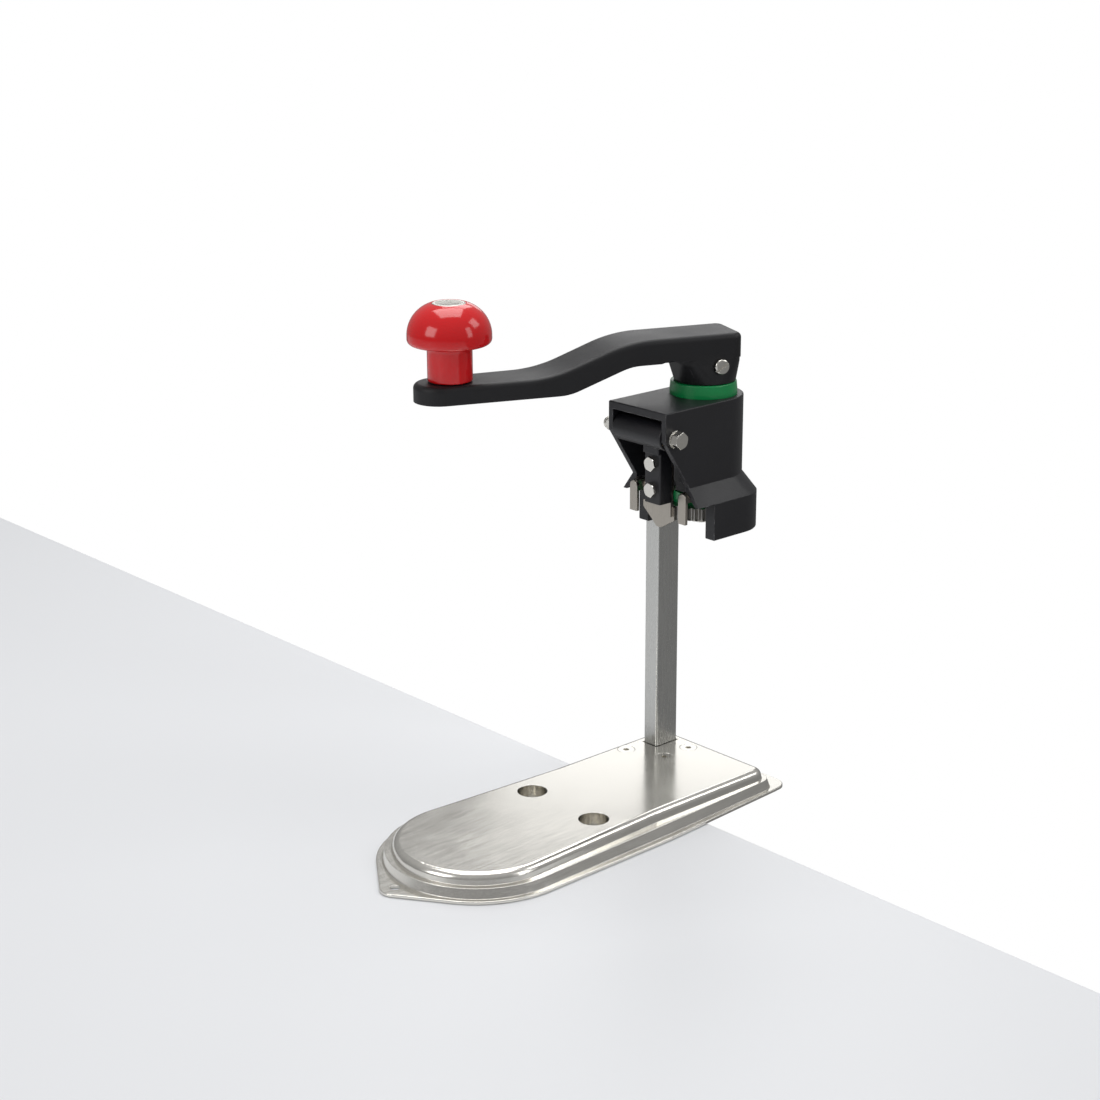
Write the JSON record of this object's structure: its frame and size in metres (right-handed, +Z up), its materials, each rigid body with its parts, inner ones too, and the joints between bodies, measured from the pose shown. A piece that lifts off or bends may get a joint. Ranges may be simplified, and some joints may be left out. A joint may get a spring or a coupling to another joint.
{
  "type": "manual can opener",
  "caption": "Bench can opener: pressed base plate, sliding upright bar, head with blade and toothed wheel, hand crank with a turning knob.",
  "frame": {"origin": "on the bench plane, midway between the two screw holes under the middle of the can", "axes": "+Z up; +Y outward from the can's axis through the crank shaft; the bar stands on the -X side of the head"},
  "size_m": [0.126, 0.247, 0.468],
  "materials": {
    "pressed_steel": "pressed stainless sheet, satin with polished beads",
    "sleeve_paint": "black powder coat",
    "liner_plastic": "natural acetal",
    "bright_fastener": "bright zinc and nickel plate",
    "spring_steel": "drawn spring wire",
    "bar_steel": "ground stainless bar",
    "black_rubber": "moulded rubber",
    "black_paint": "black satin coating on a casting",
    "green_plastic": "green moulded plastic, semi-gloss",
    "bush_bronze": "sintered bronze",
    "blade_steel": "hardened steel, ground",
    "carrier_paint": "black satin coating",
    "shaft_steel": "turned steel",
    "wheel_steel": "hardened steel, oiled",
    "crank_coating": "cast aluminium with a black satin coating",
    "red_plastic": "red gloss plastic",
    "disc_aluminium": "spun aluminium, silver grey"
  },
  "bodies": {
    "base": {"base_plate": "pressed_steel", "bar_sleeve": "sleeve_paint", "sleeve_liner": "liner_plastic", "sleeve_screws": "bright_fastener", "sleeve_nuts": "bright_fastener", "brake_plug": "liner_plastic", "brake_spring": "spring_steel", "brake_screw": "bright_fastener"},
    "head": {"main_bar": "bar_steel", "bar_stop_pin": "bright_fastener", "bar_end_cap": "black_rubber", "bar_clamp_screws": "bright_fastener", "head_housing": "black_paint", "collar_ring": "green_plastic", "upper_bush": "bush_bronze", "lower_bush": "bush_bronze", "rim_guides": "blade_steel", "guide_rivets": "blade_steel", "pivot_bolt": "bright_fastener", "pivot_nut": "bright_fastener"},
    "carrier": {"blade_carrier": "carrier_paint", "carrier_bushes": "bush_bronze", "carrier_spring": "spring_steel", "blade": "blade_steel", "blade_screws": "bright_fastener", "blade_nuts": "bright_fastener"},
    "drive": {"drive_shaft": "shaft_steel", "drive_wheel": "wheel_steel", "wheel_spacer": "green_plastic", "wheel_washer": "bright_fastener", "wheel_screw": "bright_fastener", "crank_arm": "crank_coating", "crank_cotter": "bright_fastener", "knob_spindle": "shaft_steel", "knob_washer": "bright_fastener", "knob_nut": "bright_fastener"},
    "grip": {"knob": "red_plastic", "knob_disc": "disc_aluminium"}
  },
  "joints": [
    {"name": "bar_slide", "type": "slide", "parent": "base", "child": "head", "axis": [0, 0, 1], "range_m": [-0.1, 0.125]},
    {"name": "crank_spin", "type": "hinge", "parent": "head", "child": "drive", "pos_m": [0, 0.101, 0.2], "axis": [0, 0, 1], "continuous": true},
    {"name": "knob_spin", "type": "hinge", "parent": "drive", "child": "grip", "pos_m": [-0.05154, -0.02852, 0.2657], "axis": [0, 0, 1], "continuous": true},
    {"name": "carrier_swing", "type": "hinge", "parent": "head", "child": "carrier", "pos_m": [0, 0.0585, 0.204], "axis": [1, 0, 0], "range_deg": [-8, 2], "stiffness_Nm_per_rad": 2}
  ]
}
